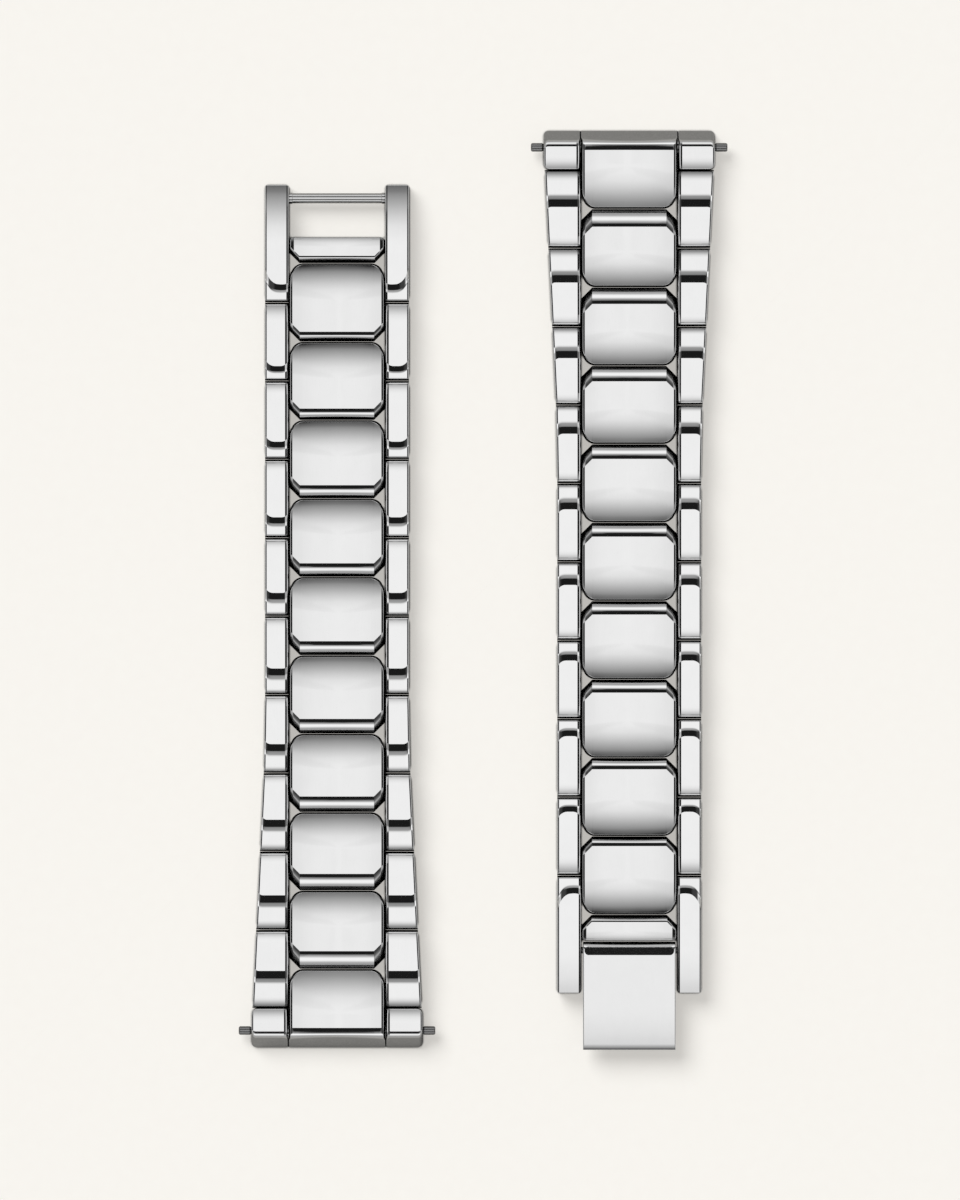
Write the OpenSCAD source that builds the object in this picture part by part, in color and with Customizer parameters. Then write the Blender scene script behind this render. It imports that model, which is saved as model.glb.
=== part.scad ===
// Steel watch bracelet, in two strands that lie side by side with their backs down.
// A strand is drawn from its watch end, at y = 0, towards its clasp, with x across it.
// The left strand ends in a clasp bar. The right one lies turned round and ends in a leaf with a hook.

/* [Links] */
// Length that one link takes up in its row
pitch = 7.3; // [6.8:0.1:8]
// Open gap between two links of one row
link_gap = 0.3; // [0.2:0.05:0.45]
// Number of centre links, and of side link pairs, in a strand
link_count = 9; // [6:1:9]
// Height of the side plates
side_h = 2.6; // [2.5:0.05:3]
// Height by which the centre row stands above the side plates
centre_step = 0.2; // [0.1:0.05:0.3]
// Width of the centre links
centre_w = 8.7; // [8:0.1:9.2]
// Running gap between a centre link and a side plate
row_gap = 0.15; // [0.1:0.01:0.25]

/* [Outline] */
// Width across the end link, which fills the gap between the lugs of the watch
lug_w = 15.9; // [15.4:0.1:16.4]
// Step at each side from the end link in to the first side links
row_step = 0.075; // [0:0.025:0.3]
// Width across the bracelet from the end of its taper to the clasp
band_w = 13.4; // [13:0.1:14]
// Length of the taper, from the end link on
taper_len = 24.65; // [18:0.05:36]
// Distance between the centre lines of the two strands
strand_apart = 27.2; // [22:0.1:40]
// Distance by which the left strand lies nearer the clasp leaf than it would in a square layout
left_shift = 0.2; // [0:0.1:2]

/* [Link shapes] */
// Length over which the side plates next to the watch roll down towards it
roll_watch = 3; // [2:0.1:3.2]
// Length of that roll on the side plates next to the clasp
roll_clasp = 0.85; // [0.5:0.05:1.5]
// Length of that roll on the legs of the clasp
roll_legs = 1.25; // [0.6:0.05:2]
// Tilt of the roll where it leaves the flat top at a crease
roll_from = 16; // [8:1:22]
// Tilt of the roll at its end
roll_to = 50; // [40:1:54]
// Length over which a side plate slopes down towards the clasp
tail_run = 0.8; // [0.4:0.1:1.5]
// Radius of that slope
tail_r = 4.5; // [3:0.5:10]
// Length over which a centre link slopes down towards the clasp
slope_run = 2.8; // [1.5:0.1:3.2]
// Radius of that slope
slope_r = 10; // [8:0.5:20]
// Radius of the rounded end of a centre link that faces the watch
fillet_r = 1.45; // [0.8:0.05:1.5]
// Radius of the crown across the centre row
crown_r = 50; // [35:1:120]
// Corner radius of a centre link on its clasp side, seen from above
corner_r = 1.2; // [0.6:0.1:1.5]
// Corner cut of a centre link on its watch side, seen from above
corner_cut = 0.9; // [0.5:0.1:1.2]
// Radius along the long top edges of the centre row
edge_r = 0.3; // [0.15:0.05:0.4]
// Bevel along the top edges of the side plates
bevel = 0.15; // [0.05:0.05:0.25]

/* [Pins] */
// Diameter of the link pins
pin_d = 1; // [0.8:0.05:1.1]
// Radial clearance of a pin in a link that turns on it
turn_gap = 0.05; // [0.02:0.01:0.08]
// Radial clearance of a pin in a plate that holds it
hold_gap = 0.02; // [0.01:0.005:0.03]
// Depth by which a pin's end lies below the outer face
pin_sink = 0.15; // [0.05:0.05:0.3]

/* [End link] */
// Distance of the seams of the two blocks outside the edges of the centre row
seam_out = 0.25; // [0.1:0.05:0.45]
// Slant of the end face that meets the watch case, from the level
slant = 62; // [55:1:70]
// Radius where the end face rolls into the top
lip_r = 0.7; // [0.4:0.05:0.9]
// Distance of that roll's centre from the end
lip_in = 1.55; // [1.4:0.05:1.8]

/* [Spring bar] */
// Distance of the spring bar's axis from the end
bar_in = 1.56; // [1.5:0.01:1.8]
// Diameter of the spring bar's tube
tube_d = 1.5; // [1.3:0.05:1.6]
// Wall of the tube
tube_wall = 0.22; // [0.15:0.01:0.25]
// Length of the inturned lip at each end of the tube
tube_lip = 0.4; // [0.2:0.05:0.8]
// Diameter of the spring bar's tips
tip_d = 0.8; // [0.7:0.05:0.85]
// Length of a tip outside the end link
tip_out = 1.2; // [0.8:0.05:1.6]
// Length of the flange that guides a tip in the end link
tip_flange = 0.6; // [0.55:0.05:0.9]
// Travel of a tip when it is pressed in
tip_travel = 1; // [0.6:0.1:1.1]
// Gap left between the flange and the tube when a tip is pressed in
tip_play = 0.05; // [0.02:0.01:0.1]
// Length of a tip's collar inside the tube
tip_collar = 1.2; // [0.6:0.1:2]
// Radial clearance of the spring bar's sliding and seated parts
slide_gap = 0.04; // [0.02:0.01:0.06]
// Wire diameter of the spring
wire_d = 0.16; // [0.1:0.01:0.2]

/* [Clasp frame] */
// Length of the bridge between the legs
bridge_len = 2.25; // [1.8:0.05:3]
// Length over which the legs slope down at their tips
leg_slope_run = 3.2; // [2:0.1:4]
// Radius of that slope
leg_slope_r = 12; // [10:0.5:30]
// Distance from the tips of the legs to the bridge
window = 4.9; // [4.7:0.05:5.4]
// Distance from the bridge's straight edge to its pin
bridge_pin_in = 1; // [0.8:0.05:1.2]

/* [Clasp bar] */
// Diameter of the clasp bar
clasp_bar_d = 0.94; // [0.8:0.02:0.96]
// Distance of the clasp bar's axis from the tips of the legs
clasp_bar_in = 1.25; // [1:0.05:1.6]
// Thickness by which the collars at its ends are larger in radius
collar_step = 0.05; // [0.02:0.01:0.08]
// Width of those collars
collar_w = 0.35; // [0.2:0.05:0.8]

/* [Clasp leaf] */
// Running gap between the leaf and the legs
leaf_gap = 0.2; // [0.1:0.05:0.5]
// Running gap between the leaf's knuckle and the bridge
knuckle_gap = 0.1; // [0.05:0.05:0.3]
// Length of the leaf beyond the tips of the legs
leaf_out = 5.25; // [4:0.05:5.3]
// Depth of the leaf's top below the top of the centre row
leaf_drop = 0.05; // [0:0.01:0.2]
// Radius of the leaf's knuckle
knuckle_r = 0.8; // [0.7:0.05:0.8]
// Thickness of the leaf
leaf_t = 0.9; // [0.7:0.05:0.9]
// Diameter of the leaf's pin
leaf_pin_d = 0.6; // [0.4:0.05:0.7]
// Length over which the leaf slopes down to its free end
leaf_slope_run = 4.2; // [2:0.1:5]
// Radius of that slope
leaf_slope_r = 20; // [18:1:60]
// Radius of the groove across the leaf at its hinge
groove_r = 0.45; // [0.4:0.01:0.6]
// Width of that groove at the top
groove_w = 0.74; // [0.4:0.02:0.76]

/* [Clasp hook] */
// Width of the hook
hook_w = 4; // [2:0.1:6]
// Thickness of the hook
hook_t = 0.45; // [0.3:0.05:0.6]
// Clearance between the hook and the clasp bar
hook_gap = 0.05; // [0.02:0.01:0.1]
// Length of the hook's straight tip under the bar
hook_lip = 0.25; // [0:0.05:0.6]
// Gap between the tips of the two frames when the clasp is shut
shut_gap = 0.45; // [0.4:0.05:0.8]

/* [Hidden] */
$fn = 96;
STEEL = "lightsteelblue";
BRIGHT = "gainsboro";
DARK = "slategray";
// Overlap of drawn regions that together make one outline
lap = 0.05;
// Depth at which a straight side runs into an arc, so that the two cross
seat = 0.01;
end_gap = link_gap / 2;
half_pitch = pitch / 2;
pin_in = pitch / 4;
pin_z = side_h / 2;
end_r = pin_in - end_gap;
centre_h = side_h + centre_step;
row_w = lug_w - 2 * row_step;
plate_x = centre_w / 2 + row_gap;
seam_w = centre_w + 2 * seam_out;
turn_r = pin_d / 2 + turn_gap;
hold_r = pin_d / 2 + hold_gap;
frame_start = half_pitch + link_count * pitch;
bridge_start = frame_start + half_pitch + end_gap;
bridge_end = bridge_start + bridge_len;
strand_len = bridge_end + window;
first_pin = half_pitch + pin_in;
bridge_pin = bridge_end - bridge_pin_in;
leaf_w = 2 * (plate_x - leaf_gap);
leaf_axis = bridge_end + knuckle_gap + knuckle_r;
leaf_end = strand_len + leaf_out;
leaf_top = centre_h - leaf_drop;
leaf_low = leaf_top - leaf_t;
leaf_axis_z = leaf_top - knuckle_r;
clasp_bar_y = strand_len - clasp_bar_in;
hook_y = strand_len + shut_gap + clasp_bar_in;
hook_r = clasp_bar_d / 2 + hook_gap;
flange_start = lug_w / 2 - tip_flange;
tube_half = flange_start - tip_travel - tip_play;
tube_in_r = tube_d / 2 - tube_wall;
tip_r = tip_d / 2;
collar_start = tube_half - tube_lip - tip_collar;
wide = lug_w;

// Start of a link along the strand, counted from the clasp
function side_start(n) = half_pitch + (link_count - n) * pitch;
function centre_start(n) = pitch + (link_count - n) * pitch;
// Length of the roll on a pair of side plates, counted from the clasp
function roll_run(n) = roll_clasp + (roll_watch - roll_clasp) * (n - 1) / (link_count - 1);
// Height that a slope in one arc loses over its length
function slope_drop(run, r) = r - sqrt(r * r - run * run);
// Width across the side plates at a distance from the watch end
function band(y) = max(band_w, row_w - (row_w - band_w) * (y - half_pitch) / taper_len);

module left() {
    translate([-strand_apart / 2, left_shift - (strand_len + leaf_out) / 2, 0]) children();
}

module right() {
    translate([strand_apart / 2, (strand_len + leaf_out) / 2, 0]) rotate([0, 0, 180]) children();
}

module both_sides() {
    children();
    mirror([1, 0, 0]) children();
}

// A side view, drawn along y and z, made solid from one x to another
module across(x0, x1) {
    translate([x0, 0, 0]) rotate([90, 0, 90]) linear_extrude(x1 - x0) children();
}

// An end view, drawn along x and z, made solid from one y to another
module lengthwise(y0, y1) {
    translate([0, y1, 0]) rotate([90, 0, 0]) linear_extrude(y1 - y0) children();
}

module rod(y, z, r, x0, x1) {
    translate([x0, y, z]) rotate([0, 90, 0]) cylinder(r = r, h = x1 - x0);
}

// Side view of a link whose lower corners are rounded about its pins, from start to end
module pinned_body(start, end, h, round_start, round_end) {
    translate([start, pin_z]) square([end - start, h - pin_z]);
    low_start = round_start ? start + end_r : start;
    low_end = round_end ? end - end_r : end;
    translate([low_start, 0]) square([low_end - low_start, h]);
    intersection() {
        union() {
            if (round_start) translate([start + end_r, pin_z]) circle(r = end_r);
            if (round_end) translate([end - end_r, pin_z]) circle(r = end_r);
        }
        translate([start, 0]) square([end - start, h]);
    }
}

// Side view of all that lies under a roll, one arc from a crease down to start
module under_roll(start, end, h, run) {
    r = run / (sin(roll_to) - sin(roll_from));
    crease_y = start + run;
    translate([crease_y, 0]) square([end - crease_y, h]);
    intersection() {
        translate([crease_y + r * sin(roll_from), h - r * cos(roll_from)]) circle(r = r, $fn = 360);
        translate([start, 0]) square([run + lap, h]);
    }
}

// Side view of all that lies under a slope that falls towards its end in one arc
module under_slope(start, end, h, run, r) {
    translate([start, 0]) square([end - run - start, h]);
    intersection() {
        translate([end - run, h - r]) circle(r = r, $fn = 360);
        translate([end - run - lap, 0]) square([run + lap, h]);
    }
}

// Side view of all that lies behind a rounded top corner, whose arc has its centre at centre_y
module behind_fillet(start, end, h, r, centre_y) {
    translate([start, 0]) square([end - start, h - r]);
    translate([centre_y, 0]) square([end - centre_y, h]);
    translate([centre_y, h - r]) circle(r = r);
}

// Side view of a bevel's cut at a top corner at the end
module end_bevel(end, h) {
    polygon([
        [end - bevel, h + lap], [end + lap, h + lap], [end + lap, h - bevel],
        [end, h - bevel], [end - bevel, h]
    ]);
}

// End view of a side plate's outer part, with its outer face at x = 0
module outer_section(h) {
    polygon([[-wide, 0], [-bevel, 0], [0, bevel], [0, h - bevel], [-bevel, h], [-wide, h]]);
}

// End view of a side plate's inner part, with its inner face at x = 0
module inner_section(h) {
    polygon([[0, 0], [wide, 0], [wide, h], [bevel, h], [0, h - bevel]]);
}

// A side plate at the right of the strand: its side view is the child
module plate(start, end, w0, w1, h, inner_x) {
    intersection() {
        across(inner_x, wide) children();
        translate([inner_x, 0, 0]) lengthwise(start - 1, end + 1) inner_section(h);
        translate([w0 / 2, start, 0]) rotate([0, 0, atan2((w0 - w1) / 2, end - start)])
            lengthwise(-1, end - start + 1) outer_section(h);
    }
}

// End view of the centre row, crowned and with round top edges
module crowned_section(w, h) {
    intersection() {
        union() {
            translate([-w / 2, 0]) square([w, h - edge_r]);
            translate([edge_r - w / 2, 0]) square([w - 2 * edge_r, h]);
            translate([edge_r - w / 2, h - edge_r]) circle(r = edge_r);
            translate([w / 2 - edge_r, h - edge_r]) circle(r = edge_r);
        }
        translate([0, h - crown_r]) circle(r = crown_r, $fn = 720);
    }
}

// Plan of a centre link: cut corners at its start and round corners at its end
module centre_plan(start, end, cut, r) {
    half = centre_w / 2;
    polygon([
        [cut - half, start], [half - cut, start], [half, start + cut],
        [half, end - r], [-half, end - r], [-half, start + cut]
    ]);
    translate([r - half, end - r - lap]) square([centre_w - 2 * r, r + lap]);
    if (r > 0) {
        translate([r - half, end - r]) circle(r = r);
        translate([half - r, end - r]) circle(r = r);
    }
}

// A side link pair: two plates and the two pins that they hold
module side_links(n) {
    start = side_start(n) + end_gap;
    end = side_start(n) + pitch - end_gap;
    color(STEEL) both_sides() difference() {
        plate(start, end, band(start), band(end), side_h, plate_x) difference() {
            intersection() {
                pinned_body(start, end, side_h, true, true);
                under_roll(start, end, side_h, roll_run(n));
                under_slope(start, end, side_h, tail_run, tail_r);
            }
            end_bevel(end, side_h - slope_drop(tail_run, tail_r));
        }
        for (y = [start + end_r, end - end_r]) rod(y, pin_z, hold_r, 0, wide);
    }
    color(DARK) for (y = [start + end_r, end - end_r]) {
        reach = band(y) / 2 - pin_sink;
        rod(y, pin_z, pin_d / 2, -reach, reach);
    }
}

// A centre link, bored at both ends for the pins of its neighbours
module centre_link(n) {
    start = centre_start(n) + end_gap;
    end = centre_start(n) + pitch - end_gap;
    color(BRIGHT) difference() {
        intersection() {
            across(-wide, wide) intersection() {
                pinned_body(start, end, centre_h, true, true);
                under_slope(start, end, centre_h, slope_run, slope_r);
                behind_fillet(start, end, centre_h, fillet_r, start + fillet_r);
            }
            lengthwise(start - 1, end + 1) crowned_section(centre_w, centre_h);
            linear_extrude(centre_h) centre_plan(start, end, corner_cut, corner_r);
        }
        for (y = [start + end_r, end - end_r]) rod(y, pin_z, turn_r, -wide, wide);
    }
}

// Side view of the end link from its slanted end face to a given end
module end_body(end, h) {
    touch_y = lip_in - (lip_r - seat) * sin(slant);
    touch_z = h - lip_r + (lip_r - seat) * cos(slant);
    foot_y = touch_y - touch_z / tan(slant);
    intersection() {
        behind_fillet(0, end, h, lip_r, lip_in);
        polygon([[foot_y, 0], [foot_y + h / tan(slant), h], [end, h], [end, 0]]);
    }
}

module spring_bar_bore() {
    rod(bar_in, pin_z, tube_d / 2 + slide_gap, -wide, wide);
}

// The end link's centre, with a tongue for the first link pin
module end_link() {
    block_end = half_pitch - end_gap;
    end = pitch - end_gap;
    color(BRIGHT) difference() {
        intersection() {
            across(-wide, wide) intersection() {
                end_body(end, centre_h);
                under_slope(0, end, centre_h, slope_run, slope_r);
                pinned_body(0, end, centre_h, false, true);
            }
            union() {
                lengthwise(0, block_end) crowned_section(seam_w, centre_h);
                lengthwise(0, end) crowned_section(centre_w, centre_h);
            }
            linear_extrude(centre_h) union() {
                translate([-seam_w / 2, 0]) square([seam_w, block_end]);
                centre_plan(0, end, 0, corner_r);
            }
        }
        spring_bar_bore();
        rod(first_pin, pin_z, turn_r, -wide, wide);
    }
}

// The two blocks that are soldered to the sides of the end link
module end_blocks() {
    end = half_pitch - end_gap;
    color(STEEL) both_sides() difference() {
        plate(0, end, lug_w, lug_w, side_h, seam_w / 2) difference() {
            end_body(end, side_h);
            end_bevel(end, side_h);
        }
        spring_bar_bore();
    }
}

module spring_bar_tube() {
    color(DARK) difference() {
        rod(bar_in, pin_z, tube_d / 2, -tube_half, tube_half);
        rod(bar_in, pin_z, tip_r + slide_gap, -wide, wide);
        rod(bar_in, pin_z, tube_in_r, tube_lip - tube_half, tube_half - tube_lip);
    }
}

// One sliding tip: a shank that sticks out, a flange in the bore and a collar that stays inside the tube
module spring_bar_tip() {
    color(DARK) {
        rod(bar_in, pin_z, tip_r, collar_start, lug_w / 2 + tip_out);
        rod(bar_in, pin_z, tube_d / 2, flange_start, lug_w / 2);
        rod(bar_in, pin_z, tube_in_r - slide_gap, collar_start, tube_half - tube_lip);
    }
}

// The spring between the two tips, as a sleeve of its outer size
module spring_bar_coil() {
    color(BRIGHT) difference() {
        rod(bar_in, pin_z, tube_in_r - slide_gap, -collar_start, collar_start);
        rod(bar_in, pin_z, tube_in_r - slide_gap - wire_d, -wide, wide);
    }
}

// The two legs of a clasp frame, bored for its pins and for one cross bar
module frame_legs(cross_y, cross_z, cross_r) {
    start = frame_start + end_gap;
    color(STEEL) both_sides() difference() {
        plate(start, strand_len, band_w, band_w, side_h, plate_x) difference() {
            intersection() {
                pinned_body(start, strand_len, side_h, true, false);
                under_roll(start, strand_len, side_h, roll_legs);
                under_slope(start, strand_len, side_h, leg_slope_run, leg_slope_r);
            }
            end_bevel(strand_len, side_h - slope_drop(leg_slope_run, leg_slope_r));
        }
        rod(start + end_r, pin_z, hold_r, 0, wide);
        rod(bridge_pin, pin_z, hold_r, 0, wide);
        rod(cross_y, cross_z, cross_r + hold_gap, 0, wide);
    }
}

// The half-length centre link between the legs
module frame_bridge() {
    color(BRIGHT) difference() {
        intersection() {
            across(-wide, wide)
                behind_fillet(bridge_start, bridge_end, centre_h, fillet_r, bridge_start + fillet_r);
            lengthwise(bridge_start - 1, bridge_end + 1) crowned_section(centre_w, centre_h);
            linear_extrude(centre_h) centre_plan(bridge_start, bridge_end, corner_cut, 0);
        }
        rod(bridge_pin, pin_z, hold_r, -wide, wide);
    }
}

module frame_pins() {
    reach = band_w / 2 - pin_sink;
    color(DARK) for (y = [frame_start + end_gap + end_r, bridge_pin])
        rod(y, pin_z, pin_d / 2, -reach, reach);
}

// The bar that the hook of the other strand takes hold of
module clasp_bar() {
    reach = band_w / 2 - pin_sink;
    collar_x = plate_x - collar_w;
    color(DARK) {
        rod(clasp_bar_y, pin_z, clasp_bar_d / 2, -reach, reach);
        both_sides() rod(clasp_bar_y, pin_z, clasp_bar_d / 2 + collar_step, collar_x, plate_x);
    }
}

// The leaf: a flat plate that slopes at its free end and has a round knuckle with a groove above it
module clasp_leaf() {
    groove_z = leaf_top + sqrt(groove_r * groove_r - groove_w * groove_w / 4);
    groove_x = leaf_w / 2 - groove_r;
    color(BRIGHT) difference() {
        across(-leaf_w / 2, leaf_w / 2) union() {
            translate([leaf_axis, leaf_axis_z]) circle(r = knuckle_r);
            intersection() {
                translate([leaf_axis, leaf_low]) square([leaf_end - leaf_axis, leaf_t]);
                under_slope(leaf_axis, leaf_end, leaf_top, leaf_slope_run, leaf_slope_r);
            }
        }
        rod(leaf_axis, leaf_axis_z, leaf_pin_d / 2 + turn_gap, -wide, wide);
        rod(leaf_axis, groove_z, groove_r, -groove_x, groove_x);
        both_sides() translate([groove_x, leaf_axis, groove_z]) sphere(r = groove_r);
    }
}

module clasp_leaf_pin() {
    reach = band_w / 2 - pin_sink;
    color(DARK) rod(leaf_axis, leaf_axis_z, leaf_pin_d / 2, -reach, reach);
}

// The hook under the leaf: down behind the bar and back under it
module clasp_hook() {
    outer_r = hook_r + hook_t;
    color(STEEL) across(-hook_w / 2, hook_w / 2) union() {
        translate([hook_y + hook_r, pin_z]) square([hook_t, leaf_low - pin_z]);
        difference() {
            translate([hook_y, pin_z]) circle(r = outer_r);
            translate([hook_y, pin_z]) circle(r = hook_r);
            translate([hook_y - outer_r, pin_z]) square([2 * outer_r, outer_r]);
            translate([hook_y - outer_r, pin_z - outer_r]) square([outer_r, 2 * outer_r]);
        }
        translate([hook_y - hook_lip, pin_z - outer_r]) square([hook_lip, hook_t]);
    }
}

for (n = [1:link_count]) {
    left() centre_link(n);
    left() side_links(n);
    right() centre_link(n);
    right() side_links(n);
}
left() end_link();  // left_end_link
left() end_blocks();  // left_end_blocks
left() spring_bar_tube();  // left_spring_bar_tube
left() spring_bar_tip();  // left_spring_bar_tip_a
left() mirror([1, 0, 0]) spring_bar_tip();  // left_spring_bar_tip_b
left() spring_bar_coil();  // left_spring_bar_coil
left() frame_legs(clasp_bar_y, pin_z, clasp_bar_d / 2);  // left_frame_legs
left() frame_bridge();  // left_frame_bridge
left() frame_pins();  // left_frame_pins
left() clasp_bar();
right() end_link();  // right_end_link
right() end_blocks();  // right_end_blocks
right() spring_bar_tube();  // right_spring_bar_tube
right() spring_bar_tip();  // right_spring_bar_tip_a
right() mirror([1, 0, 0]) spring_bar_tip();  // right_spring_bar_tip_b
right() spring_bar_coil();  // right_spring_bar_coil
right() frame_legs(leaf_axis, leaf_axis_z, leaf_pin_d / 2);  // right_frame_legs
right() frame_bridge();  // right_frame_bridge
right() frame_pins();  // right_frame_pins
right() clasp_leaf();
right() clasp_leaf_pin();
right() clasp_hook();
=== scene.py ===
import math

import bmesh
import bpy
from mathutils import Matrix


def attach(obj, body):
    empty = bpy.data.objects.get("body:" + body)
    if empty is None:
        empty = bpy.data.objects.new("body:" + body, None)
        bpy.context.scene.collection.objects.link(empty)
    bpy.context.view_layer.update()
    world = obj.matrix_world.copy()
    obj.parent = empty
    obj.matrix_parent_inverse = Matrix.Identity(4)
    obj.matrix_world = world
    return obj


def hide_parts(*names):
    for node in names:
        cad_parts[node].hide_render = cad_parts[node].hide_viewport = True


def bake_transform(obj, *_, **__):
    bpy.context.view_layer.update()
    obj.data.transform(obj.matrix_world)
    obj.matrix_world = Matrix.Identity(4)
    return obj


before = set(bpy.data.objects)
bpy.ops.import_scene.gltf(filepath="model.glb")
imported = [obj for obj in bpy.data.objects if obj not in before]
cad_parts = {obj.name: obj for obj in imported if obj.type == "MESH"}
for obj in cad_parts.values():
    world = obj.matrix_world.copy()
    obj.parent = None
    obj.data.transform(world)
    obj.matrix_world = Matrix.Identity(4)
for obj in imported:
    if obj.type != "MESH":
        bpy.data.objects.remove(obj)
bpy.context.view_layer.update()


# The board under the bracelet.
# Smooth off-white card, a little warm, on which the two strands lie with their backs down.
# It isn't part of the bracelet.

class Shade:
    """A shader socket, or with no socket a whole material, on which plain arithmetic adds nodes."""

    def __init__(self, tree, socket=None):
        self.tree = tree
        self.socket = socket

    def node(self, kind, sockets=None, out=0, stops=None, **settings):
        """Adds any other node: its settings first, then the values or links of its sockets."""
        made = self.tree.nodes.new(kind)
        for name, value in settings.items():
            setattr(made, name, value)
        if stops:
            ramp = made.color_ramp.elements
            while len(ramp) < len(stops):
                ramp.new(0.5)
            for element, (position, level) in zip(ramp, stops):
                element.position = position
                element.color = (level, level, level, 1)
        for name, value in (sockets or {}).items():
            if isinstance(value, Shade):
                self.tree.links.new(value.socket, made.inputs[name])
            else:
                made.inputs[name].default_value = value
        return Shade(self.tree, made.outputs[out] if made.outputs else None)

    def math(self, operation, *values):
        return self.node("ShaderNodeMath", dict(enumerate(values)), operation=operation)

    def __add__(self, other):
        return self.math("ADD", self, other)

    def __sub__(self, other):
        return self.math("SUBTRACT", self, other)

    def __rsub__(self, other):
        return self.math("SUBTRACT", other, self)

    def __mul__(self, other):
        return self.math("MULTIPLY", self, other)

    def __truediv__(self, other):
        return self.math("DIVIDE", self, other)

    __radd__ = __add__
    __rmul__ = __mul__

    def rise(self, low, high):
        """0 below low, 1 above high and smooth between them."""
        return self.node("ShaderNodeMapRange", {0: self, 1: low, 2: high},
                         interpolation_type="SMOOTHSTEP")

    def blend(self, first, second):
        """A colour that goes from the first to the second as this value goes from 0 to 1."""
        return self.node("ShaderNodeMix", {0: self, 6: first, 7: second}, out=2, data_type="RGBA")


def material(name):
    made = bpy.data.materials.new(name)
    made.use_nodes = True
    made.node_tree.nodes.clear()
    return made, Shade(made.node_tree)


bpy.ops.object.select_all(action="DESELECT")
bpy.ops.mesh.primitive_plane_add(size=8, location=(0, 0, 0))
board = bpy.context.object
board.name = "board"
card, shade = material("off_white_card")
place = shade.node("ShaderNodeTexCoord", out=3)
fibres = shade.node("ShaderNodeTexNoise", {"Vector": place, "Scale": 900, "Detail": 3})
tone = fibres.blend((0.5, 0.49, 0.465, 1), (0.53, 0.52, 0.495, 1))
# The card's glow for the camera is taken away where the strands hem it in, which is painted shade
# in the slits between the links and close along their walls.
painted_slit_shade = shade.node("ShaderNodeAmbientOcclusion", {"Distance": 0.00035}, out=1, samples=16)
camera_lift_with_painted_shade = shade.node("ShaderNodeLightPath", out=0) * painted_slit_shade.rise(0.5, 0.85)
camera_lift_with_painted_shade = camera_lift_with_painted_shade.blend((0, 0, 0, 1), (0.485, 0.47, 0.445, 1))
bump = shade.node("ShaderNodeBump", {"Height": fibres, "Strength": 0.2, "Distance": 0.00002})
surface = shade.node("ShaderNodeBsdfPrincipled", {
    "Base Color": tone, "Roughness": 0.8, "Specular IOR Level": 0.1, "Normal": bump,
    "Emission Color": camera_lift_with_painted_shade, "Emission Strength": 1.0})
shade.node("ShaderNodeOutputMaterial", {"Surface": surface})
board.data.materials.append(card)


# The light.
# A wide soft light right above, a lower ring of soft light round the table and a dark room
# between them, which is what polished steel mirrors, with a weak soft lamp from the upper left.

SKY = 0.25
RAMP_END = 110
world = bpy.data.worlds.new("studio")
bpy.context.scene.world = world
world.use_nodes = True
world.node_tree.nodes.clear()
shade = Shade(world.node_tree)
ray = shade.node("ShaderNodeTexCoord", out=0)
split = {"Vector": ray}
along_x = shade.node("ShaderNodeSeparateXYZ", split, out=0)
along_y = shade.node("ShaderNodeSeparateXYZ", split, out=1)
height = shade.node("ShaderNodeSeparateXYZ", split, out=2)
from_zenith = shade.math("ARCCOSINE", height) / math.radians(RAMP_END)


def room(levels):
    """How bright the room is, given as (degrees from the zenith, level) with even steps between."""
    stops = [(angle / RAMP_END, level) for angle, level in levels]
    return shade.node("ShaderNodeValToRGB", {0: from_zenith}, stops=stops)


# Along and across the strands the ring is bright, and on the diagonals the room stays dark.
banded = room([
    (0, 1.04), (5, 1.01), (11, 0.92), (16, 0.75), (21.6, 0.53), (27, 0.33), (30.6, 0.13),
    (31.6, 0.012), (42, 0.012), (43, 0.2), (44.5, 0.27), (46.5, 0.36), (49, 0.56), (51.5, 0.85),
    (54, 1.08), (58, 1.15), (64, 1.12), (67.5, 0.85), (71, 0.58), (75, 0.5), (80, 0.48), (90, 0.3)])
even = room([
    (0, 1.04), (20, 0.72), (29, 0.2), (34, 0.05), (58, 0.06), (68, 0.2), (74, 0.48), (84, 0.5),
    (RAMP_END, 0.3)])
across_2 = along_x * along_x
along_2 = along_y * along_y
lengthwise = (along_2 - across_2) / (along_2 + across_2 + 1e-6)
square_on = shade.math("ABSOLUTE", lengthwise).rise(0.3, 0.75)
seen_in_steel = square_on.blend(even, banded)
is_camera = shade.node("ShaderNodeLightPath", out=0)
is_glossy = shade.node("ShaderNodeLightPath", out=3)
light = is_glossy.blend((SKY, SKY, SKY, 1), seen_in_steel)
light = is_camera.blend(light, (0.93, 0.91, 0.87, 1))
background = shade.node("ShaderNodeBackground", {"Color": light, "Strength": 1})
shade.node("ShaderNodeOutputWorld", {"Surface": background})

bpy.ops.object.light_add(type="SUN", location=(-0.3, 0.3, 0.5),
                         rotation=(math.radians(-32), math.radians(-30), 0))
lamp = bpy.context.object
lamp.name = "soft_lamp"
lamp.data.energy = 2.7
lamp.data.angle = math.radians(38)
lamp.visible_glossy = False


# The camera.
# Straight above the two strands, far enough away that they are seen without perspective, as in
# the photograph. The picture is 111.6 mm high at the level of the links' tops.

VIEW_HEIGHT = 0.1116
VIEW_X, VIEW_Y = -0.00029, -0.00093
LINK_TOPS = 0.0027
CAMERA_UP = 1.2
bpy.ops.object.camera_add(location=(VIEW_X, VIEW_Y, CAMERA_UP + LINK_TOPS), rotation=(0, 0, 0))
camera = bpy.context.object
camera.name = "camera"
camera.data.lens = camera.data.sensor_width * CAMERA_UP / VIEW_HEIGHT
camera.data.clip_start = 0.01
camera.data.clip_end = 50
bpy.context.scene.camera = camera
bpy.context.scene.view_settings.view_transform = "Standard"


# Centre links, nine in each strand.
# Solid polished steel, milled to a low crown with a round nose towards the watch and a long soft
# slope towards the clasp, and bored right through at both ends for the link pins.

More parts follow.
